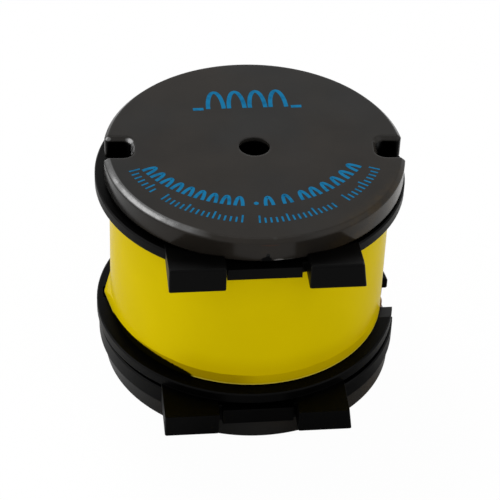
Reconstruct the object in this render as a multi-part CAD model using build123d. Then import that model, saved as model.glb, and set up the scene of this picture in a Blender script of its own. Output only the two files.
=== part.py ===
from build123d import *
import math
import os

# Roller core inductor: two ferrite core halves on a moulded coil former with a taped copper winding.
# All lengths are in millimetres and all angles in degrees. +Z runs up along the core axis, the
# origin is the centre of the bore in the lower core's base face, and the four feet face -Y.

# ---- ferrite core halves ----
core_radius = 28.0
core_height = 47.84  # both halves together
disc_thickness = 5.25
disc_chamfer = 0.75
post_radius = 12.5
post_chamfer = 0.3
bore_radius = 2.9
notch_width = 5.6
notch_depth = 5.2  # from the rim to the floor of a notch
notch_corner_radius = 1.6
notch_mouth_radius = 0.9
cement_gap = 0.1  # between the two post ends
core_turn = -3.0  # the cores are cemented slightly turned against the former

# ---- coil former ----
former_shift = -0.65  # along X: the former sits off centre by its play on the posts
post_clearance = 0.8  # radial, hub bore to post
hub_wall = 1.2
flange_radius = 28.95
flange_edge_chamfer = 0.25
flange_thickness = 2.3
base_ring_height = 3.56
groove_radius = 26.4
groove_height = 1.05
base_ring_radius = 28.88
base_ring_shift = 0.33  # along X: the base ring is not quite concentric with the flanges

# ---- feet and lips of the former ----
foot_front = 32.1  # from the former axis to the front faces of the left feet
right_foot_extra = 0.35  # the right feet stand out this much further
right_foot_draft = 7.5  # their right sides lean in towards the top by this angle
foot_gap = 14.7
foot_width = 10.1
foot_height = 4.85
foot_back_height = 2.45  # of an upper foot where its sloped top meets the disc's seat
lower_feet_shift = -0.45  # along X, against the upper pair
foot_corner_radius = 0.4
foot_edge_chamfer = 0.3
lip_front = 29.3
lip_end_gap = 0.67  # mean gap from the ends of a lip to the feet
lip_shift = -0.28  # along X
core_clearance = 0.25  # feet to core disc

# ---- wire slots, each given by its range in Y; the start slot stays closed at the rim ----
slot_floor_clearance = 0.35  # inside the outer layer of wire
finish_slot = (-4.6, 2.9)  # right side of the lower flange
finish_slot_ring = (-4.6, 6.2)  # right side of the base ring
start_slot = (0.7, 4.0)  # left side
start_slot_rim = 1.28  # wall left outside the start slot
upper_slot = (2.8, 8.0)  # right side of the upper flange
nick_size = 0.3  # of the two nicks in the rim that mark the start slot
ramp_length = 4.0  # of the lead-in beside the finish slot, along Y
ramp_depth = 0.9

# ---- winding and tape ----
wire_diameter = 1.5
winding_fit = 0.12  # all round, winding to hub and flanges
end_turn_chamfer = 0.5
tape_radius = 26.4
tape_thickness = 0.35
tape_fit = 0.2
tape_shift = 0.12  # along X: the wrap is not quite concentric with the winding
tape_edge_gap = 0.2  # tape edges to flanges
start_lead_angle = 175.0
start_lead_proud = 0.45  # how far the wire's centre stands out from the winding
start_lead_rise = 3.6  # above the lower flange, where the wire leaves its layer
finish_lead_angle = -6.8
finish_lead_proud = 0.35
finish_lead_rise = 3.0
lead_slope = 1.4  # drop for each millimetre that a wire end moves outwards
lead_bend_radius = 1.4
lead_end_height = 1.0  # the trimmed wire ends stay above the base face
bulge_rise = 3.6  # above the lower flange, where the tape starts to widen over the start lead

# ---- levels and radii that follow ----
former_bottom = disc_thickness
former_top = core_height - disc_thickness
ring_top = former_bottom + base_ring_height
plate_bottom = ring_top + groove_height
window_bottom = plate_bottom + flange_thickness
window_top = former_top - flange_thickness
winding_window = window_top - window_bottom
notch_floor_radius = core_radius - notch_depth
hub_inner_radius = post_radius + post_clearance
hub_outer_radius = hub_inner_radius + hub_wall
foot_offset = (foot_gap + foot_width) / 2
foot_back = groove_radius / 2  # feet and lips run this far into the body
start_slot_reach = min(flange_radius, base_ring_radius) - start_slot_rim
lip_width = foot_gap - 2 * lip_end_gap
crest_radius = tape_radius - tape_thickness - tape_fit
slot_floor_radius = crest_radius - wire_diameter - slot_floor_clearance
start_lead_radius = crest_radius + start_lead_proud
start_lead_top = window_bottom + start_lead_rise
finish_lead_radius = crest_radius + finish_lead_proud
finish_lead_top = window_bottom + finish_lead_rise
lead_start_radius = crest_radius - wire_diameter / 2 - winding_fit
overrun = 6.0  # how far cutting bodies reach past what they cut


def core_half():
    """One pressed half: notched disc on z = 0 and half of the post, with the bore right through."""
    notch_length = core_radius - notch_floor_radius + overrun
    notch = RectangleRounded(notch_length, notch_width, notch_corner_radius)
    notch_x = notch_floor_radius + notch_length / 2
    outline = Circle(core_radius) - Pos(notch_x, 0) * notch - Pos(-notch_x, 0) * notch
    mouth = [v for v in outline.vertices() if v.center().length > core_radius - disc_chamfer]
    disc = extrude(fillet(mouth, notch_mouth_radius), disc_thickness)
    levels = disc.edges().group_by(Axis.Z)
    disc = chamfer(levels[0] + levels[-1], disc_chamfer)
    post_height = (core_height - cement_gap) / 2
    post = extrude(Circle(post_radius), post_height)
    post = chamfer(post.edges().group_by(Axis.Z)[-1], post_chamfer)
    bore = extrude(Circle(bore_radius), post_height)
    return disc + post - bore


def side_block(side, x_range, y_range, z_range):
    """Cutting block on the right (side 1) or the left (side -1), its X range counted outwards."""
    size = [high - low for low, high in (x_range, y_range, z_range)]
    centre = [(high + low) / 2 for low, high in (x_range, y_range, z_range)]
    return Pos(side * centre[0], centre[1], centre[2]) * Box(*size)


def wire_slots():
    """All cutting blocks for the wire: slots through the flanges and the ring, and the rim nicks."""
    through_rim = (slot_floor_radius, flange_radius + overrun)
    inside_rim = (slot_floor_radius, start_slot_reach)
    in_nick = (flange_radius - nick_size, flange_radius + overrun)
    blocks = [
        side_block(1, through_rim, finish_slot, (plate_bottom, window_bottom)),
        side_block(1, through_rim, finish_slot_ring, (former_bottom, plate_bottom)),
        side_block(1, through_rim, upper_slot, (window_top, former_top)),
        side_block(-1, inside_rim, start_slot, (former_bottom, window_bottom)),
    ]
    for y_edge in start_slot:
        y_range = (y_edge - nick_size / 2, y_edge + nick_size / 2)
        blocks.append(side_block(-1, in_nick, y_range, (plate_bottom, window_bottom)))
    return blocks


def former_body():
    """Hub, flanges, groove and base ring."""
    hub = Pos(0, 0, former_bottom) * extrude(Circle(hub_outer_radius), former_top - former_bottom)
    upper = Pos(0, 0, window_top) * extrude(Circle(flange_radius), flange_thickness)
    plate = Pos(0, 0, plate_bottom) * extrude(Circle(flange_radius), flange_thickness)
    upper = chamfer(upper.edges(), flange_edge_chamfer)
    plate = chamfer(plate.edges(), flange_edge_chamfer)
    neck = Pos(0, 0, ring_top) * extrude(Circle(groove_radius), groove_height)
    ring = Pos(base_ring_shift, 0, former_bottom) * extrude(Circle(base_ring_radius), base_ring_height)
    ring = chamfer(ring.edges().group_by(Axis.Z)[-1], flange_edge_chamfer)
    return hub + upper + plate + neck + ring


def foot(side, low, edge, shift=0.0):
    """One foot block: its front corners are rounded and its outer edge (0 low, -1 high) chamfered."""
    front_y = foot_front if side < 0 else foot_front + right_foot_extra
    lean = 0.0 if side < 0 else foot_height * math.tan(math.radians(right_foot_draft))
    section = Polygon(
        (-foot_width / 2, 0),
        (foot_width / 2, 0),
        (foot_width / 2 - lean, foot_height),
        (-foot_width / 2, foot_height),
        align=None,
    )
    block = Pos(0, -foot_back, 0) * extrude(Plane.XZ * section, front_y - foot_back)
    front_edges = block.faces().sort_by(Axis.Y)[0].edges()
    block = fillet(front_edges - front_edges.filter_by(Axis.X), foot_corner_radius)
    front = block.faces().sort_by(Axis.Y)[0]
    block = chamfer(front.edges().filter_by(Axis.X).sort_by(Axis.Z)[edge], foot_edge_chamfer)
    return Pos(side * foot_offset + shift, 0, low) * block


def slope_cut():
    """Wedge that slopes the tops of the upper feet down to the disc's seat."""
    top = window_top + foot_height
    seat_y = -math.sqrt(core_radius**2 - (foot_offset + foot_width / 2) ** 2)
    wedge = Polygon(
        (-foot_front + foot_edge_chamfer, top),
        (seat_y, window_top + foot_back_height),
        (0, window_top + foot_back_height),
        (0, top + overrun),
        (-foot_front + foot_edge_chamfer, top + overrun),
        align=None,
    )
    width = foot_gap + 2 * foot_width + overrun
    return Pos(-width / 2, 0, 0) * extrude(Plane.YZ * wedge, width)


def lip(low, high):
    """Straight lip between two feet."""
    block = Box(lip_width, lip_front - foot_back, high - low)
    return Pos(lip_shift, -(lip_front + foot_back) / 2, (low + high) / 2) * block


def coil_former():
    """The whole moulding, in its own frame."""
    body = former_body()
    lower_foot_bottom = former_bottom + core_clearance
    for side in (-1, 1):
        body += foot(side, window_top, -1)
        body += foot(side, lower_foot_bottom, 0, lower_feet_shift)
    body += lip(window_top, former_top)
    body += lip(lower_foot_bottom, ring_top)
    # the winding window, the discs' seats and the post hole stay clear of feet and lips
    window = Circle(foot_front + overrun) - Circle(hub_outer_radius)
    window = Pos(0, 0, window_bottom) * extrude(window, winding_window)
    disc_room = Circle(core_radius + core_clearance)
    upper_room = Pos(-former_shift, 0, former_top) * extrude(disc_room, foot_height)
    post_hole = extrude(Circle(hub_inner_radius), core_height)
    return body - [window, upper_room, slope_cut(), post_hole, lead_in_ramp(), *wire_slots()]


def lead_in_ramp():
    """Wedge cut that slopes the lower flange down into the finish slot."""
    y_edge = finish_slot[0]
    wedge = Polygon(
        (y_edge - ramp_length, window_bottom),
        (y_edge, window_bottom - ramp_depth),
        (y_edge, window_bottom + ramp_depth),
        (y_edge - ramp_length, window_bottom + ramp_depth),
        align=None,
    )
    length = flange_radius - slot_floor_radius + overrun
    return Pos(slot_floor_radius, 0, 0) * extrude(Plane.YZ * wedge, length)


def lead_outer_height(radius, top):
    """Height at which a wire end has moved out to its radius."""
    return top - wire_diameter - (radius - lead_start_radius) * lead_slope


def lead_path(angle, radius, top):
    """Route of a wire end: out of the outer layer, down past the flange, in the plane of its angle."""
    points = [
        (lead_start_radius, 0, top),
        (lead_start_radius, 0, top - wire_diameter),
        (radius, 0, lead_outer_height(radius, top)),
        (radius, 0, lead_end_height),
    ]
    return Rot(0, 0, angle) * FilletPolyline(*points, radius=lead_bend_radius)


def lead(angle, radius, top, extra=0.0):
    """Round wire along a lead's route; extra widens it for clearance."""
    path = lead_path(angle, radius, top)
    section = Plane(path @ 0, z_dir=path % 0) * Circle(wire_diameter / 2 + extra)
    return sweep(section, path)


def winding():
    """All layers of turns as one ring, rounded off by its end turns, with the two wire ends."""
    height = winding_window - 2 * winding_fit
    section = Circle(crest_radius) - Circle(hub_outer_radius + winding_fit)
    ring = Pos(0, 0, window_bottom + winding_fit) * extrude(section, height)
    outer_edges = ring.edges().filter_by(GeomType.CIRCLE).sort_by(SortBy.RADIUS)[-2:]
    ring = chamfer(outer_edges, end_turn_chamfer)
    ring += lead(start_lead_angle, start_lead_radius, start_lead_top)
    ring += lead(finish_lead_angle, finish_lead_radius, finish_lead_top)
    return ring


def tape_bulge(radius, cover):
    """Solid that a wrap of the given radius fills where it runs out over the start lead."""
    angle = math.radians(start_lead_angle)
    over = Pos(start_lead_radius * math.cos(angle), start_lead_radius * math.sin(angle)) * Circle(cover)
    wrap = make_hull(Circle(radius).edges() + over.edges())
    reach = start_lead_radius + cover
    full_height = lead_outer_height(start_lead_radius, start_lead_top)
    bulge_top = window_bottom + bulge_rise
    profile = Polyline(
        (0, 0, window_bottom),
        (reach, 0, window_bottom),
        (reach, 0, full_height),
        (radius, 0, bulge_top),
        (0, 0, bulge_top),
        close=True,
    )
    return (Pos(0, 0, window_bottom) * extrude(wrap, bulge_rise)) & revolve(make_face(profile), Axis.Z)


def tape_wrap():
    """Tape round the winding, bulging over the start lead and open where the finish lead leaves."""
    low = window_bottom + tape_edge_gap
    height = winding_window - 2 * tape_edge_gap
    inner = tape_radius - tape_thickness
    outside = Pos(0, 0, low) * extrude(Circle(tape_radius), height)
    inside = Pos(0, 0, window_bottom) * extrude(Circle(inner), winding_window)
    outside += tape_bulge(tape_radius, wire_diameter / 2 + tape_thickness + tape_fit)
    inside += tape_bulge(inner, wire_diameter / 2 + tape_fit)
    slab = Pos(0, 0, low) * extrude(Circle(foot_front), height)
    wrap = Pos(tape_shift, 0, 0) * ((outside & slab) - inside)
    return wrap - lead(finish_lead_angle, finish_lead_radius, finish_lead_top, tape_fit)


def main():
    on_core = Rot(0, 0, core_turn)
    on_former = Pos(former_shift, 0, 0)
    half = core_half()
    parts = {
        "lower_core_half": on_core * half,
        "upper_core_half": on_core * Pos(0, 0, core_height) * Rot(180, 0, 0) * half,
        "coil_former": on_former * coil_former(),
        "winding": on_former * winding(),
        "tape_wrap": on_former * tape_wrap(),
    }
    os.makedirs("parts", exist_ok=True)
    for name, solid in parts.items():
        export_step(solid, f"parts/{name}.step")
        print(name, "volume", round(solid.volume, 1))


main()
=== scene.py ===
# %% [markdown]
# # A roller core inductor
#
# This coil is two ferrite discs on a short post, with a black moulded former between them that carries
# a copper winding wrapped in yellow tape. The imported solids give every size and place. Here they get
# their finishes with the marks of handling, and the print on the upper face, which is too thin for a solid.

# %% Load the solids
import math

import bpy
import numpy as np
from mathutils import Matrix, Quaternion, Vector


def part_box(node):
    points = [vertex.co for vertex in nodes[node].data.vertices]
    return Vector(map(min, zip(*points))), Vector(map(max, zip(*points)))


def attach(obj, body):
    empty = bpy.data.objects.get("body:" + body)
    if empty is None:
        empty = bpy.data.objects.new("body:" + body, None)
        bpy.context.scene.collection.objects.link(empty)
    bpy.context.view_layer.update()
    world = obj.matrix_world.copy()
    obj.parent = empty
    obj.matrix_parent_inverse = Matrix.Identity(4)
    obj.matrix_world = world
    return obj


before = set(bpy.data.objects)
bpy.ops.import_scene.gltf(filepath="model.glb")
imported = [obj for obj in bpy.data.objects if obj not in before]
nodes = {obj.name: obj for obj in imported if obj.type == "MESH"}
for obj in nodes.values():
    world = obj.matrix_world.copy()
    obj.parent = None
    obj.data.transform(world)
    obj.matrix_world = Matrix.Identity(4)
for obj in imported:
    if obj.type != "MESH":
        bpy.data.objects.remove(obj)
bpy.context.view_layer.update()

print("nodes", sorted(nodes))

# %% [markdown]
# ## Camera
#
# A long lens looks down on the coil from a little to the left of its feet. The camera could be turned by
# hand until it fits, but an aim point, two angles, a distance and a small roll are what one changes when
# framing, so it is placed by those.

# %% Place the camera
MM = 0.001
aim_point = Vector((0.0, 0.0, 23.21 * MM))
camera_azimuth = math.radians(-7.40)
camera_elevation = math.radians(38.82)
camera_roll = math.radians(2.43)
camera_distance = 389.84 * MM
camera_lens = 145.63

backwards = Vector((
    math.sin(camera_azimuth) * math.cos(camera_elevation),
    -math.cos(camera_azimuth) * math.cos(camera_elevation),
    math.sin(camera_elevation),
))
camera_data = bpy.data.cameras.new("camera")
camera_data.sensor_width = 36.0
camera_data.lens = camera_lens
camera_data.clip_start = 0.01
camera_data.clip_end = 20.0
camera = bpy.data.objects.new("camera", camera_data)
camera.rotation_mode = "QUATERNION"
camera.location = aim_point + backwards * camera_distance
camera.rotation_quaternion = (-backwards).to_track_quat("-Z", "Y") @ Quaternion((0, 0, 1), camera_roll)
bpy.context.scene.collection.objects.link(camera)
bpy.context.scene.camera = camera
bpy.context.scene.view_settings.view_transform = "Standard"
print("camera at mm", [round(1000 * c, 1) for c in camera.location])

# %% [markdown]
# ## Node helpers
#
# A finish is a small graph of shader nodes. Clicking such graphs together is quick, but a script keeps
# them readable and easy to change: one helper starts a material, one adds a node with its settings and
# links in one line, and the rest are the few patterns that every finish here is put together from, such
# as a smooth step, a noise and a patch about a point. All of them read Object coordinates, which for
# these solids are metres in the one shared frame, so a mark stays where it is put.

# %% Start a material and add nodes
def new_finish(name):
    """An empty material: its node tree and its Principled shader."""
    material = bpy.data.materials.new(name)
    material.use_nodes = True
    return material, material.node_tree, material.node_tree.nodes["Principled BSDF"]


def add(tree, kind, inputs=None, **settings):
    """A node of that kind; settings are its properties, inputs its socket values or incoming links."""
    node = tree.nodes.new(kind)
    for key, value in settings.items():
        setattr(node, key, value)
    for key, value in (inputs or {}).items():
        if isinstance(value, bpy.types.NodeSocket):
            tree.links.new(value, node.inputs[key])
        else:
            node.inputs[key].default_value = value
    return node


def dress(node_name, material):
    """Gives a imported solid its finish."""
    mesh = nodes[node_name].data
    mesh.materials.clear()
    mesh.materials.append(material)
    print(node_name, "wears", material.name, "of", len(material.node_tree.nodes), "nodes")


print("solids to dress", len(nodes))


# %% Sums, products and steps
def combine(tree, first, second, operation="MULTIPLY"):
    """Two values put together by one Math operation."""
    return add(tree, "ShaderNodeMath", {0: first, 1: second}, operation=operation).outputs[0]


def product(tree, *values):
    """All the values multiplied, which keeps only what every one of several masks keeps."""
    result = values[0]
    for value in values[1:]:
        result = combine(tree, result, value)
    return result


def step(tree, value, low, high, at_low=0.0, at_high=1.0):
    """Smooth change from at_low to at_high while the value goes from low to high."""
    inputs = {"Value": value, "From Min": low, "From Max": high, "To Min": at_low, "To Max": at_high}
    return add(tree, "ShaderNodeMapRange", inputs, interpolation_type="SMOOTHSTEP").outputs["Result"]


def fall(tree, value, low, high):
    """1 below low, 0 above high, and a smooth step between."""
    return step(tree, value, low, high, 1.0, 0.0)


print("helpers", combine.__name__, product.__name__, step.__name__, fall.__name__)


# %% Colours
CLOUD_LOW, CLOUD_HIGH = 0.3, 0.7  # the values that most of a noise lies between


def ramp(tree, source, stops):
    """Colour ramp driven by source; stops are (position, grey or colour)."""
    node = add(tree, "ShaderNodeValToRGB", {"Fac": source})
    elements = node.color_ramp.elements
    while len(elements) < len(stops):
        elements.new(0.5)
    for element, (position, colour) in zip(elements, stops):
        element.position = position
        element.color = (colour, colour, colour, 1) if isinstance(colour, float) else (*colour, 1)
    return node.outputs["Color"]


def cloudy(tree, clouds, dark, light):
    """Colour or grey that follows a noise from dark to light."""
    return ramp(tree, clouds, [(CLOUD_LOW, dark), (CLOUD_HIGH, light)])


def blend_colour(tree, share, first, second):
    """The first colour where share is 0 and the second where it is 1."""
    node = add(tree, "ShaderNodeMix", {0: share}, data_type="RGBA")
    for number, colour in ((6, first), (7, second)):
        if isinstance(colour, bpy.types.NodeSocket):
            tree.links.new(colour, node.inputs[number])
        else:
            node.inputs[number].default_value = (*colour, 1)
    return node.outputs[2]


print("clouds run from", CLOUD_LOW, "to", CLOUD_HIGH)

# %% Places, noise and normals
RAGGED_WAVES = 1800.0  # waves per metre in the ragged edge of a patch


def object_place(tree):
    """Object coordinates: the place of a point in the shared frame, in metres."""
    return add(tree, "ShaderNodeTexCoord").outputs["Object"]


def coordinates(tree, place):
    """The X, Y and Z of a place, as sockets by name."""
    return add(tree, "ShaderNodeSeparateXYZ", {0: place}).outputs


def axis_distance(tree, place):
    """Distance of a point from the Z axis."""
    flat = add(tree, "ShaderNodeVectorMath", {0: place, 1: (1, 1, 0)}, operation="MULTIPLY").outputs[0]
    return add(tree, "ShaderNodeVectorMath", {0: flat}, operation="LENGTH").outputs["Value"]


def towards(tree, place, direction):
    """How far a point lies along a direction from the origin."""
    along = add(tree, "ShaderNodeVectorMath", {0: place, 1: direction}, operation="DOT_PRODUCT")
    return along.outputs["Value"]


def noise(tree, place, scale, detail):
    """Noise value at a point, with scale in waves per metre and detail in layers of finer waves."""
    inputs = {"Vector": place, "Scale": scale, "Detail": detail}
    return add(tree, "ShaderNodeTexNoise", inputs).outputs["Fac"]


def patch(tree, place, centre, size, ragged=0.0, soft=0.25):
    """1 inside an ellipsoid, 0 outside; centre and half sizes are in millimetres.

    The distance from the centre, divided by the half sizes, is 1 on the ellipsoid. A share of noise,
    ragged, is added to it before the smooth step, and soft is the width of that step.
    """
    centre_m = [length * MM for length in centre]
    size_m = [length * MM for length in size]
    offset = add(tree, "ShaderNodeVectorMath", {0: place, 1: centre_m}, operation="SUBTRACT")
    scaled = add(tree, "ShaderNodeVectorMath", {0: offset.outputs[0], 1: size_m}, operation="DIVIDE")
    length = add(tree, "ShaderNodeVectorMath", {0: scaled.outputs[0]}, operation="LENGTH").outputs["Value"]
    wobble = product(tree, noise(tree, place, RAGGED_WAVES, 2.0), ragged)
    reach = combine(tree, length, wobble, "ADD")
    return fall(tree, reach, 1.0 - soft + ragged / 2, 1.0 + ragged / 2)


def bump(tree, height, depth, strength, normal=None):
    """Surface normal from a height from 0 to 1, depth being its height in metres."""
    inputs = {"Height": height, "Distance": depth, "Strength": strength}
    if normal is not None:
        inputs["Normal"] = normal
    return add(tree, "ShaderNodeBump", inputs).outputs["Normal"]


def soft_edges(tree, radius):
    """Normal that turns smoothly across an edge, as if the edge had that radius."""
    return add(tree, "ShaderNodeBevel", {"Radius": radius}, samples=6).outputs["Normal"]


print("ragged edges have waves of mm", round(1000 / RAGGED_WAVES, 2))

# %% [markdown]
# ## Ferrite
#
# Sintered ferrite is a dark, slightly warm grey ceramic. Its faces are ground, so they show cloudy
# mottling and a low sheen. A painted picture could give that too, but a noise needs no unwrapping and
# keeps its scale. The real disc has marks of handling, and each is a small ellipsoid in which the colour
# changes: a chip at the lower front edge with a bright fresh fracture beside it, a reddish scratch, a
# speck, and brown plastic rubbed off on the right front rim. A painted highlight lies on the left arc of
# the upper edge and on a few spots of the left notch: a pale grey with a share of metal. The corners are
# rounded by the Bevel node instead of by geometry, which turns the normal smoothly across an edge.
# Ferrite is black glass-like stuff with a weak mirror, so its own colour is very dark and its index of
# refraction is low. The walls of the notches and the bore get painted shade: they would mirror white
# studio walls there, so a black colour and a share of black metal take that light away.

# %% Marks on the ferrite
FRONT_WALL = -28.0  # Y of the front of the discs
UPPER_FACE = 47.84
# black of the chip, and painted shade on the walls of the notches and the bore
CHIP_AND_PAINTED_SHADE_BLACK = (0.0004, 0.0004, 0.0004)
ferrite_marks = {
    # centre and half sizes in millimetres, colour, raggedness
    "chip": ((-0.6, FRONT_WALL, 43.6), (1.1, 1.0, 0.75), CHIP_AND_PAINTED_SHADE_BLACK, 0.9),
    "top of the chip": ((-0.4, FRONT_WALL, 44.3), (0.40, 1.0, 0.75), CHIP_AND_PAINTED_SHADE_BLACK, 0.7),
    "fresh fracture": ((1.6, FRONT_WALL, 43.45), (1.1, 1.0, 0.20), (0.130, 0.126, 0.122), 0.4),
    "end of the fracture": ((3.4, FRONT_WALL, 43.45), (1.3, 1.0, 0.14), (0.030, 0.029, 0.027), 0.5),
    "reddish scratch": ((0.0, FRONT_WALL, 46.75), (1.7, 1.0, 0.18), (0.022, 0.011, 0.007), 0.6),
    "speck": ((0.8, -27.3, UPPER_FACE), (0.45, 0.35, 0.5), (0.018, 0.017, 0.015), 0.8),
}
painted_highlight_spots = {
    # painted highlights on the sloping edge of the left notch: centre and half sizes in millimetres, grey
    "inner corner": ((-22.9, 3.4, 47.40), (1.2, 1.5, 0.44), 0.120),
    "inner end": ((-22.5, 1.0, 47.40), (0.9, 2.0, 0.44), 0.360),
    "back corner": ((-27.0, 4.5, 47.40), (0.8, 0.6, 0.44), 0.120),
}
# the spots printed as polished are painted highlights
print("marks", ", ".join(ferrite_marks), "and polished", ", ".join(painted_highlight_spots))


# %% Where the ferrite gets painted shade, stains and painted highlights
def painted_shade_walls(tree, place):
    """1 on the walls of the notches and of the bore, where shade is painted, and 0 on the outer wall,
    the rims and the flat faces.

    It is the product of a step in the distance from the axis and two steps in Z.
    """
    outer_wall = (27.5 * MM, 27.8 * MM)
    upper_edge = (46.7 * MM, 47.3 * MM)
    lower_edge = (0.5 * MM, 1.1 * MM)
    height = coordinates(tree, place)["Z"]
    inside = fall(tree, axis_distance(tree, place), *outer_wall)
    return product(tree, inside, fall(tree, height, *upper_edge), step(tree, height, *lower_edge))


def rim_rub(tree, place):
    """Share of brown rubbed-off plastic along the right front of the upper rim, in streaks.

    It is the product of three steps: towards the rim, towards the direction of the mark, and the noise.
    """
    right_front = (0.75, -0.66, 0)
    near_rim = step(tree, axis_distance(tree, place), 24.2 * MM, 27.0 * MM)
    in_front = step(tree, towards(tree, place, right_front), 24.0 * MM, 27.2 * MM)
    streaks = step(tree, noise(tree, place, 260.0, 3.0), 0.40, 0.62, 0.25, 1.0)
    return product(tree, near_rim, in_front, streaks)


def painted_highlight_edge(tree, place):
    """Share of painted highlight, a pale polished grey, on the left arc of the upper edge.

    It is the product of a band in the distance from the axis, a step in Z and a step towards the left.
    """
    left_front = (-0.87, -0.50, 0)
    radius = axis_distance(tree, place)
    band_inside = step(tree, radius, 26.75 * MM, 27.05 * MM)
    band_outside = fall(tree, radius, 27.70 * MM, 27.98 * MM)
    upper = step(tree, coordinates(tree, place)["Z"], 47.0 * MM, 47.2 * MM)
    left = step(tree, towards(tree, place, left_front), 21.3 * MM, 25.8 * MM)
    patchy_highlight = step(tree, noise(tree, place, 500.0, 3.0), 0.30, 0.62, 0.65, 1.0)
    return product(tree, band_inside, band_outside, upper, left, patchy_highlight)


print("masks", painted_shade_walls.__name__, rim_rub.__name__, painted_highlight_edge.__name__)

# %% Ferrite finish
FERRITE_COOL = ((0.0100, 0.0098, 0.0092), (0.0132, 0.0128, 0.0120))
FERRITE_WARM = ((0.0115, 0.0098, 0.0080), (0.0158, 0.0132, 0.0106))
RUBBED_BROWN = (0.024, 0.017, 0.009)
PAINTED_HIGHLIGHT_GREY = (0.150, 0.150, 0.150)
# painted shade: a share of black metal darkens the walls of the notches and the bore
RECESS_SHADE_SHARE = 0.85  # share of black metal in the notches and the bore
SPOT_RAGGED, SPOT_SOFT = 0.3, 0.45
FERRITE_EDGE_RADIUS = 0.55 * MM
CHIP_DEPTH = 0.4 * MM
GRAIN_HEIGHT = 0.01 * MM


def ferrite_colour(tree, place, clouds, inner):
    """Cool and warm clouds, then rubbed plastic, marks and the painted shade of the recesses over them."""
    tints = noise(tree, place, 45.0, 2.0)
    cool = cloudy(tree, clouds, *FERRITE_COOL)
    warm = cloudy(tree, clouds, *FERRITE_WARM)
    colour = blend_colour(tree, step(tree, tints, 0.38, 0.62), cool, warm)
    colour = blend_colour(tree, rim_rub(tree, place), colour, RUBBED_BROWN)
    for centre, size, mark_colour, ragged in ferrite_marks.values():
        colour = blend_colour(tree, patch(tree, place, centre, size, ragged), colour, mark_colour)
    # painted shade on the walls of the notches and the bore
    return blend_colour(tree, inner, colour, CHIP_AND_PAINTED_SHADE_BLACK)


def ferrite_finish():
    """Dark warm grey with cloudy mottling, fine grain, marks of handling, painted highlights and shade."""
    material, tree, shader = new_finish("ferrite")
    place = object_place(tree)
    clouds = noise(tree, place, 120.0, 4.0)
    grain = noise(tree, place, 4000.0, 2.0)
    inner = painted_shade_walls(tree, place)
    bright = painted_highlight_edge(tree, place)
    # painted highlight: pale grey on the left edge and, below, on spots of the left notch
    colour = blend_colour(tree, bright, ferrite_colour(tree, place, clouds, inner), PAINTED_HIGHLIGHT_GREY)
    for centre, size, grey in painted_highlight_spots.values():
        spot = patch(tree, place, centre, size, SPOT_RAGGED, SPOT_SOFT)
        colour = blend_colour(tree, spot, colour, (grey, grey, grey))
        bright = combine(tree, bright, spot, "MAXIMUM")
    tree.links.new(colour, shader.inputs["Base Color"])
    # shares of metal: painted shade in the recesses, painted highlight on the left edge
    metal = combine(tree, product(tree, inner, RECESS_SHADE_SHARE), bright, "MAXIMUM")
    tree.links.new(metal, shader.inputs["Metallic"])
    chip_centre, chip_size, _, chip_ragged = ferrite_marks["chip"]
    chip = patch(tree, place, chip_centre, chip_size, chip_ragged)
    sheen = cloudy(tree, clouds, 0.26, 0.34)
    roughness = step(tree, combine(tree, sheen, chip, "ADD"), 0.0, 1.0)
    tree.links.new(roughness, shader.inputs["Roughness"])
    rounded = soft_edges(tree, FERRITE_EDGE_RADIUS)
    pitted = bump(tree, chip, CHIP_DEPTH, -1.0, rounded)
    tree.links.new(bump(tree, grain, GRAIN_HEIGHT, 0.4, pitted), shader.inputs["Normal"])
    shader.inputs["IOR"].default_value = 1.215
    return material


ferrite = ferrite_finish()
dress("upper_core_half", ferrite)
dress("lower_core_half", ferrite)

# %% [markdown]
# ## Former
#
# The former is moulded from black glass-filled plastic in a tool with a fine spark-eroded grain. Its rims
# and front faces have a soft sheen. Its faces that look up or down get painted shade: a share of black
# metal darkens them. Two materials could share the faces between them, but a step in the normal does the
# same with one and leaves the mesh alone.

# %% Finish of the former
PLASTIC_DARK, PLASTIC_LIGHT = 0.0003, 0.0007
# painted shade on faces that look up or down
FLAT_FACE_SHADE_SHARE = 0.7  # share of black metal on faces that look up or down
FORMER_EDGE_RADIUS = 0.18 * MM


def former_finish():
    """Near-black plastic with a fine spark-eroded grain and slightly rounded edges.

    Faces that look up or down get painted shade and are darker than rims and walls: a share of metal
    in a black colour takes their mirror light away, and the share is a step in the upright part of the
    normal.
    """
    material, tree, shader = new_finish("black_plastic")
    place = object_place(tree)
    grain = noise(tree, place, 2500.0, 2.0)
    clouds = noise(tree, place, 150.0, 3.0)
    tree.links.new(cloudy(tree, clouds, PLASTIC_DARK, PLASTIC_LIGHT), shader.inputs["Base Color"])
    facing = add(tree, "ShaderNodeTexCoord").outputs["Normal"]
    upright = coordinates(tree, facing)["Z"]
    flatness = add(tree, "ShaderNodeMath", {0: upright}, operation="ABSOLUTE").outputs[0]
    # painted shade: black metal on faces that look up or down
    tree.links.new(step(tree, flatness, 0.75, 0.97, 0.0, FLAT_FACE_SHADE_SHARE), shader.inputs["Metallic"])
    tree.links.new(cloudy(tree, clouds, 0.36, 0.44), shader.inputs["Roughness"])
    rounded = soft_edges(tree, FORMER_EDGE_RADIUS)
    tree.links.new(bump(tree, grain, GRAIN_HEIGHT, 0.3, rounded), shader.inputs["Normal"])
    shader.inputs["IOR"].default_value = 1.13
    return material


dress("coil_former", former_finish())

# %% [markdown]
# ## Tape
#
# The winding is wrapped in yellow polyester film, which is thin, strong in colour and smooth. The turns
# do not lie quite true: the outer one sits a little higher, so the turn below shows as an amber band near
# the lower edge, and at the left front both have lifted from the flange. A second thin sheet could show
# this, but the film is far too thin to be seen from its edge, so the finish carries it: a change of
# colour where Z is below the edge of the turn, and a small step in the bump map along that edge. The gap
# under the lifted turns is painted shade, a near-black patch on the film.

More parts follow.
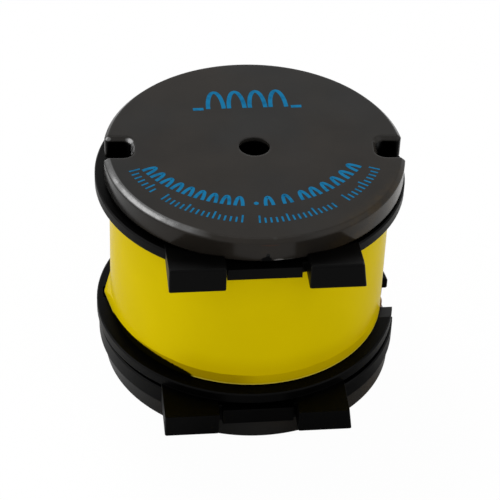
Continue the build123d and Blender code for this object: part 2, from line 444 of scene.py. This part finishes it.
# %% Colours and places on the tape
FILM_DARK, FILM_LIGHT = (0.555, 0.420, 0.0), (0.580, 0.440, 0.0)
FILM_IN_SHADE = (0.470, 0.330, 0.0)
LOWER_TURN_AMBER = (0.310, 0.212, 0.0)
FILM_EDGE_PALE = (0.600, 0.500, 0.060)
# painted shade in the gap under the lifted turns
PAINTED_GAP_SHADE = (0.003, 0.0025, 0.0)
OUTER_TURN_LOW = 14.6 * MM
WANDER = 0.9 * MM  # how far the edge of the outer turn wanders up and down
EDGE_SOFTNESS = 0.10 * MM
STEP_HEIGHT = 0.06 * MM
# centre and half sizes in millimetres of that painted shade
GAP_SHADE_CENTRE = (-21.9, -15.5, 12.2)
GAP_SHADE_SIZE = (12.8, 12.8, 2.1)
print("edge of the outer turn at mm", round(1000 * OUTER_TURN_LOW, 2))


# %% Finish of the tape
def turn_below(tree, place, parts):
    """1 below the edge of the outer turn, which a noise makes wander."""
    wander = product(tree, noise(tree, place, 130.0, 3.0), WANDER)
    height = combine(tree, parts["Z"], wander, "ADD")
    edge = OUTER_TURN_LOW + WANDER / 2
    return fall(tree, height, edge - EDGE_SOFTNESS, edge + EDGE_SOFTNESS)


def tape_colour(tree, place, parts, clouds, below):
    """Yellow, then from the flange's shade to the pale edge and the painted shade in the gap under the
    lifted turns.

    The amber band of the turn below lies in front, and it fades to the right. A little above it the
    film is in the shade of the flange and looks warmer.
    """
    near_flange = step(tree, parts["Z"], 15.5 * MM, 19.5 * MM, 0.5, 0.0)
    right_of_lift = step(tree, parts["X"], -19.0 * MM, -12.5 * MM)
    front = fall(tree, parts["Y"], -17.5 * MM, -13.0 * MM)
    fade = step(tree, parts["X"], -6.0 * MM, 0.0, 1.0, 0.42)
    edge = step(tree, parts["Z"], 12.45 * MM, 12.75 * MM, 0.6, 0.0)
    lifted = patch(tree, place, GAP_SHADE_CENTRE, GAP_SHADE_SIZE, 0.10, 0.08)
    colour = cloudy(tree, clouds, FILM_DARK, FILM_LIGHT)
    colour = blend_colour(tree, product(tree, near_flange, right_of_lift), colour, FILM_IN_SHADE)
    colour = blend_colour(tree, product(tree, below, front, fade), colour, LOWER_TURN_AMBER)
    colour = blend_colour(tree, edge, colour, FILM_EDGE_PALE)
    # painted shade: a near-black patch where the turns have lifted from the flange
    return blend_colour(tree, lifted, colour, PAINTED_GAP_SHADE)


def tape_finish():
    """Strong yellow film whose outer turn sits higher than the turn below."""
    material, tree, shader = new_finish("yellow_tape")
    place = object_place(tree)
    parts = coordinates(tree, place)
    clouds = noise(tree, place, 90.0, 3.0)
    below = turn_below(tree, place, parts)
    tree.links.new(tape_colour(tree, place, parts, clouds, below), shader.inputs["Base Color"])
    stepped = bump(tree, below, STEP_HEIGHT, -0.6)
    tree.links.new(bump(tree, clouds, 0.2 * MM, 0.3, stepped), shader.inputs["Normal"])
    shader.inputs["Roughness"].default_value = 0.22
    shader.inputs["IOR"].default_value = 1.05
    return material


dress("tape_wrap", tape_finish())

# %% [markdown]
# ## Wire
#
# The wire is copper under a clear brown enamel. The imported winding is one smooth ring with its two ends,
# since most of it is under the tape. Where it does show, in the slots and windows of the flanges, a sine
# wave along Z stands for the separate turns: it bends the normal, and the grooves get painted shade.

# %% Finish of the wire
TURN_PITCH = 1.6 * MM
RIDGE_HEIGHT = 0.5 * MM
ENAMEL_DARK, ENAMEL_LIGHT = (0.15, 0.062, 0.022), (0.21, 0.090, 0.032)
# painted shade in the grooves between the turns
GROOVE_SHADE_BROWN = (0.03, 0.012, 0.005)


def turn_ridges(tree, place):
    """Sine of Z with the pitch of the turns, and 0 on the free wire ends."""
    height = coordinates(tree, place)["Z"]
    angle = product(tree, height, 2 * math.pi / TURN_PITCH)
    wave = add(tree, "ShaderNodeMath", {0: angle}, operation="SINE").outputs[0]
    wound = fall(tree, axis_distance(tree, place), 26.0 * MM, 26.4 * MM)
    in_window = step(tree, height, 12.4 * MM, 12.9 * MM)
    return product(tree, wave, product(tree, wound, in_window))


def wire_finish():
    """Copper under brown enamel, with painted shade in the grooves between the turns."""
    material, tree, shader = new_finish("enamelled_copper")
    place = object_place(tree)
    ridges = turn_ridges(tree, place)
    clouds = noise(tree, place, 300.0, 2.0)
    light = cloudy(tree, clouds, ENAMEL_DARK, ENAMEL_LIGHT)
    # painted shade darkens the grooves
    groove_shade = fall(tree, ridges, -1.0, -0.3)
    tree.links.new(blend_colour(tree, groove_shade, light, GROOVE_SHADE_BROWN), shader.inputs["Base Color"])
    tree.links.new(step(tree, clouds, CLOUD_LOW, CLOUD_HIGH, 0.30, 0.42), shader.inputs["Roughness"])
    tree.links.new(bump(tree, ridges, RIDGE_HEIGHT, 1.0), shader.inputs["Normal"])
    shader.inputs["Metallic"].default_value = 0.9
    return material


dress("winding", wire_finish())

# %% [markdown]
# ## The print on the upper face
#
# Such a coil carries its values in blue ink, put on with a rubber stamp: one line at the back and two
# arcs at the front. Here the places hold plain signs instead of words: the circuit sign of a coil, a row
# of its arches, and a scale of fine ticks. Text objects or a painted mask could carry signs too, but a
# stroke is simple enough to work out: each is a thin flat slab, half sunk in the face, so it casts no
# visible shadow and never flickers against the ferrite.

# %% A stroke as a slab along a path
TOP_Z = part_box("upper_core_half")[1][2]
INK_THICKNESS = 0.02 * MM


def stroke(path, width):
    """Corners and faces of a flat slab along a path.

    At each point of the path the direction is the difference of its neighbours. Half the width to its
    left and right, at the bottom and top of the ink, gives four corners: left low, right low, right high,
    left high. Quads join each section to the next, and the first and last sections are closed.
    """
    path = np.asarray(path, dtype=float)
    ahead = np.gradient(path, axis=0)
    ahead /= np.linalg.norm(ahead, axis=1, keepdims=True)
    left = np.stack([-ahead[:, 1], ahead[:, 0]], axis=1) * (np.broadcast_to(width, len(path))[:, None] / 2)
    sections = np.zeros((len(path), 4, 3))
    sections[:, [0, 3], :2] = (path + left)[:, None]
    sections[:, [1, 2], :2] = (path - left)[:, None]
    sections[:, :2, 2] = TOP_Z - INK_THICKNESS
    sections[:, 2:, 2] = TOP_Z + INK_THICKNESS
    start = 4 * np.arange(len(path) - 1)[:, None]
    corner = np.arange(4)
    after = (corner + 1) % 4
    quads = np.stack([start + corner, start + 4 + corner, start + 4 + after, start + after], axis=2)
    last = 4 * (len(path) - 1)
    caps = np.array([[0, 1, 2, 3], [last + 3, last + 2, last + 1, last]])
    return sections.reshape(-1, 3), np.concatenate([quads.reshape(-1, 4), caps])


print("upper face at mm", round(1000 * TOP_Z, 2))


# %% One piece from many strokes
def print_piece(name, strokes, ink):
    """One object from many strokes, riding on the core."""
    corners, faces, count = [], [], 0
    for path, width in strokes:
        stroke_corners, stroke_faces = stroke(path, width)
        corners.append(stroke_corners)
        faces.append(stroke_faces + count)
        count += len(stroke_corners)
    mesh = bpy.data.meshes.new(name)
    mesh.from_pydata(np.concatenate(corners).tolist(), [], np.concatenate(faces).tolist())
    mesh.materials.append(ink)
    piece = bpy.data.objects.new(name, mesh)
    bpy.context.scene.collection.objects.link(piece)
    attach(piece, "root")
    print(name, "has", len(strokes), "strokes and", count, "corners")


# %% Paths of the strokes
def arch(width, height, points=17):
    """Half an ellipse over a straight base, from its left foot to its right foot."""
    angle = np.linspace(math.pi, 0.0, points)
    return np.stack([np.cos(angle) * width / 2, np.sin(angle) * height], axis=1)


def on_arc(path, centre, radius, degrees):
    """A path bent round a circle: its X runs along the arc from the given angle, its Y points inwards."""
    angle = math.radians(degrees) + path[:, 0] / radius
    reach = radius - path[:, 1]
    return np.stack([centre[0] + reach * np.cos(angle), centre[1] + reach * np.sin(angle)], axis=1)


def dot(diameter, points=15):
    """Path and widths of a round dot: the width is the chord of a circle at each place."""
    angle = np.linspace(-0.92, 0.92, points) * math.pi / 2
    path = np.stack([np.sin(angle) * diameter / 2, np.zeros(points)], axis=1)
    return path, np.cos(angle) * diameter


print("an arch has", len(arch(1.0, 1.0)), "points, and a dot", len(dot(1.0)[0]))

# %% Ink
INK_FULL, INK_THIN = (0.0055, 0.088, 0.185), (0.0085, 0.128, 0.262)


def ink_finish():
    """Matt blue stamp ink, a little uneven where the stamp pressed less."""
    material, tree, shader = new_finish("blue_ink")
    pressure = noise(tree, object_place(tree), 700.0, 3.0)
    colour = ramp(tree, pressure, [(0.28, INK_FULL), (0.52, INK_THIN)])
    tree.links.new(colour, shader.inputs["Base Color"])
    tree.links.new(step(tree, pressure, CLOUD_LOW, CLOUD_HIGH, 0.45, 0.60), shader.inputs["Roughness"])
    shader.inputs["IOR"].default_value = 1.05
    return material


blue_ink = ink_finish()
print(blue_ink.name, "has", len(blue_ink.node_tree.nodes), "nodes")

# %% Sign of a coil at the back
SIGN_STROKE = 0.82 * MM
sign_low, sign_high = 12.5 * MM, 17.9 * MM
sign_left, sign_right = -10.4 * MM, 10.3 * MM
lead_length = 2.4 * MM
lead_gap = 0.4 * MM
arch_gap = 0.2 * MM
arch_count = 4
arch_pitch = (sign_right - sign_left - 2 * lead_length) / arch_count
left_lead = np.array([[sign_left, sign_low], [sign_left + lead_length - lead_gap, sign_low]])
right_lead = np.array([[sign_right - lead_length + lead_gap, sign_low], [sign_right, sign_low]])
sign_strokes = [(left_lead, SIGN_STROKE), (right_lead, SIGN_STROKE)]
sign_arch = arch(arch_pitch - SIGN_STROKE - arch_gap, sign_high - sign_low)
for number in range(arch_count):
    middle = sign_left + lead_length + (number + 0.5) * arch_pitch
    sign_strokes.append((sign_arch + np.array([middle, sign_low]), SIGN_STROKE))
print_piece("print_coil_sign", sign_strokes, blue_ink)

# %% Row of arches on the inner arc
BOLD = 0.66 * MM
arch_centre, arch_radius = (-0.74 * MM, 5.57 * MM), 23.6 * MM
arch_runs = ((-148.0, -99.5), (-86.0, -69.0), (-63.0, -35.5))  # first and last angle of each run
arch_spacing = 2.2 * MM
arch_height = 2.5 * MM
small_arch = arch(arch_spacing - BOLD - 0.15 * MM, arch_height, 13)
dot_path, dot_widths = dot(0.9 * MM)
dot_degrees = -91.8
dot_rise = 0.8 * MM
arch_strokes = [(on_arc(dot_path, arch_centre, arch_radius - dot_rise, dot_degrees), dot_widths)]
for first, last in arch_runs:
    run = round(math.radians(last - first) * arch_radius / arch_spacing)
    for degrees in np.linspace(first, last, run):
        arch_strokes.append((on_arc(small_arch, arch_centre, arch_radius, degrees), BOLD))
print_piece("print_arches", arch_strokes, blue_ink)

# %% Scale of ticks on the outer arc
FINE = 0.34 * MM
tick_centre, tick_radius = (-0.27 * MM, 1.77 * MM), 24.7 * MM
tick_runs = ((-160.5, -144.0), (-137.0, -100.0), (-92.6, -58.0), (-50.5, -24.5))
tick_spacing = 1.02 * MM
long_tick, short_tick = 2.1 * MM, 1.45 * MM
tick_strokes = []
for first, last in tick_runs:
    run = round(math.radians(last - first) * tick_radius / tick_spacing)
    for number, degrees in enumerate(np.linspace(first, last, run)):
        tall = long_tick if number % 5 == 0 else short_tick
        tick = np.array([[0.0, 0.0], [0.0, tall]])
        tick_strokes.append((on_arc(tick, tick_centre, tick_radius, degrees), FINE))
print_piece("print_ticks", tick_strokes, blue_ink)

# %% [markdown]
# ## Floor
#
# The object stands on a plain white floor. The camera and the mirrors see the floor as pure white, which
# keeps the background clean without adding light, and a small share of the lit floor keeps the shadow.
# Dark, weakly shining things show their surroundings more than their own colour, so the floor near the
# coil has to look as dim to them as a real floor does in the coil's own shade. There the mirrors see the
# lit and shaded floor itself, and in front of the coil its colour is a darker grey, a painted shadow. The
# floor has one side only: from below it lets the camera see the coil.

# %% Floor
floor_half = 3.0
floor_level = -0.02 * MM  # just below the base, so the two faces never flicker
floor_signs = ((-1, -1), (1, -1), (1, 1), (-1, 1))
floor_corners = [(sx * floor_half, sy * floor_half, floor_level) for sx, sy in floor_signs]
floor_mesh = bpy.data.meshes.new("floor")
floor_mesh.from_pydata(floor_corners, [], [(0, 1, 2, 3)])
floor = bpy.data.objects.new("floor", floor_mesh)
bpy.context.scene.collection.objects.link(floor)
print("floor", 2 * floor_half, "m wide at", round(1000 * floor_level, 3), "mm")


# %% Who sees the floor, and where it is in the shade
def seen_directly(tree, mirror_share=1.0):
    """1 for rays of the camera, mirror_share for those of mirrors and of glass, else 0."""
    rays = add(tree, "ShaderNodeLightPath").outputs
    mirrors = combine(tree, rays["Is Glossy Ray"], rays["Is Transmission Ray"], "MAXIMUM")
    return combine(tree, product(tree, mirrors, mirror_share), rays["Is Camera Ray"], "MAXIMUM")


def away_from(tree, centre, shade_from, shade_to):
    """0 within shade_from of a centre on the floor, 1 beyond shade_to, and a smooth step between."""
    offset = add(tree, "ShaderNodeVectorMath", {0: object_place(tree), 1: centre}, operation="DISTANCE")
    return step(tree, offset.outputs["Value"], shade_from, shade_to)


# %% Finish of the floor
WHITE_SHARE = 0.98
FRONT_SHADOW_GREY, FLOOR_GREY = 0.25, 0.8
coil_shade_centre = (8 * MM, -4 * MM, 0.0)
front_shade_centre = (10 * MM, -30 * MM, 0.0)
floor_material, floor_tree, floor_shader = new_finish("floor")
floor_shader.inputs["Roughness"].default_value = 1.0
floor_shader.inputs["Specular IOR Level"].default_value = 0.0
# painted shadow: the floor's grey is darker in front of the coil
front_unshadowed = away_from(floor_tree, front_shade_centre, 20 * MM, 46 * MM)
floor_grey = ramp(floor_tree, front_unshadowed, [(0.0, FRONT_SHADOW_GREY), (1.0, FLOOR_GREY)])
floor_tree.links.new(floor_grey, floor_shader.inputs["Base Color"])
clear = away_from(floor_tree, coil_shade_centre, 30 * MM, 95 * MM)
share = product(floor_tree, seen_directly(floor_tree, clear), WHITE_SHARE)
glow = add(floor_tree, "ShaderNodeEmission", {"Color": (1, 1, 1, 1), "Strength": 1.0}).outputs[0]
lit_or_white = {0: share, 1: floor_shader.outputs[0], 2: glow}
upper_side = add(floor_tree, "ShaderNodeMixShader", lit_or_white).outputs[0]
from_below = add(floor_tree, "ShaderNodeNewGeometry").outputs["Backfacing"]
see_through = add(floor_tree, "ShaderNodeBsdfTransparent").outputs[0]
one_sided = add(floor_tree, "ShaderNodeMixShader", {0: from_below, 1: upper_side, 2: see_through})
floor_tree.links.new(one_sided.outputs[0], floor_tree.nodes["Material Output"].inputs["Surface"])
floor_mesh.materials.append(floor_material)
print("floor is white to the camera by", WHITE_SHARE, "and its grey is", FLOOR_GREY)

# %% [markdown]
# ## World and lamps
#
# An even white world gives most of the light, as a light tent does, and soft lamps model the form. A lamp
# can leave out its light or its highlights. The lamps at the left and in front only light the coil, so
# that no hot spot lies on the upper face from any side. The edge lamp does the opposite: it only gives
# the bright line on the left edge of the upper disc, and no extra light.

# %% World
AMBIENT = 0.80
world = bpy.data.worlds.new("studio")
bpy.context.scene.world = world
world.use_nodes = True
world_tree = world.node_tree
background = world_tree.nodes["Background"]
background.inputs["Color"].default_value = (1, 1, 1, 1)
brightness = step(world_tree, seen_directly(world_tree), 0.0, 1.0, AMBIENT, 1.0)
world_tree.links.new(brightness, background.inputs["Strength"])
print("world gives light of", AMBIENT, "and is seen as white")


# %% Lamps
def softbox(name, place, size, power, lights=True, shines=True):
    """A square lamp that faces the middle of the coil; it may leave out its light or its highlights."""
    data = bpy.data.lights.new(name, "AREA")
    data.size = size
    data.energy = power
    lamp = bpy.data.objects.new(name, data)
    lamp.location = place
    lamp.rotation_mode = "QUATERNION"
    lamp.rotation_quaternion = (aim_point - Vector(place)).to_track_quat("-Z", "Y")
    lamp.visible_diffuse = lights
    lamp.visible_glossy = shines
    bpy.context.scene.collection.objects.link(lamp)
    print(name, "at", place, "size", size, "power", power)


softbox("left_lamp", (-0.78, 0.10, 0.50), 0.60, 2.9, shines=False)
softbox("front_lamp", (0.05, -0.85, 0.45), 0.60, 0.9, shines=False)
softbox("right_lamp", (0.70, -0.30, 0.60), 0.60, 1.0)
softbox("top_lamp", (0.0, -0.10, 0.90), 0.60, 2.0)
softbox("edge_lamp", (-0.76, 0.16, 0.44), 0.66, 3.4, lights=False)
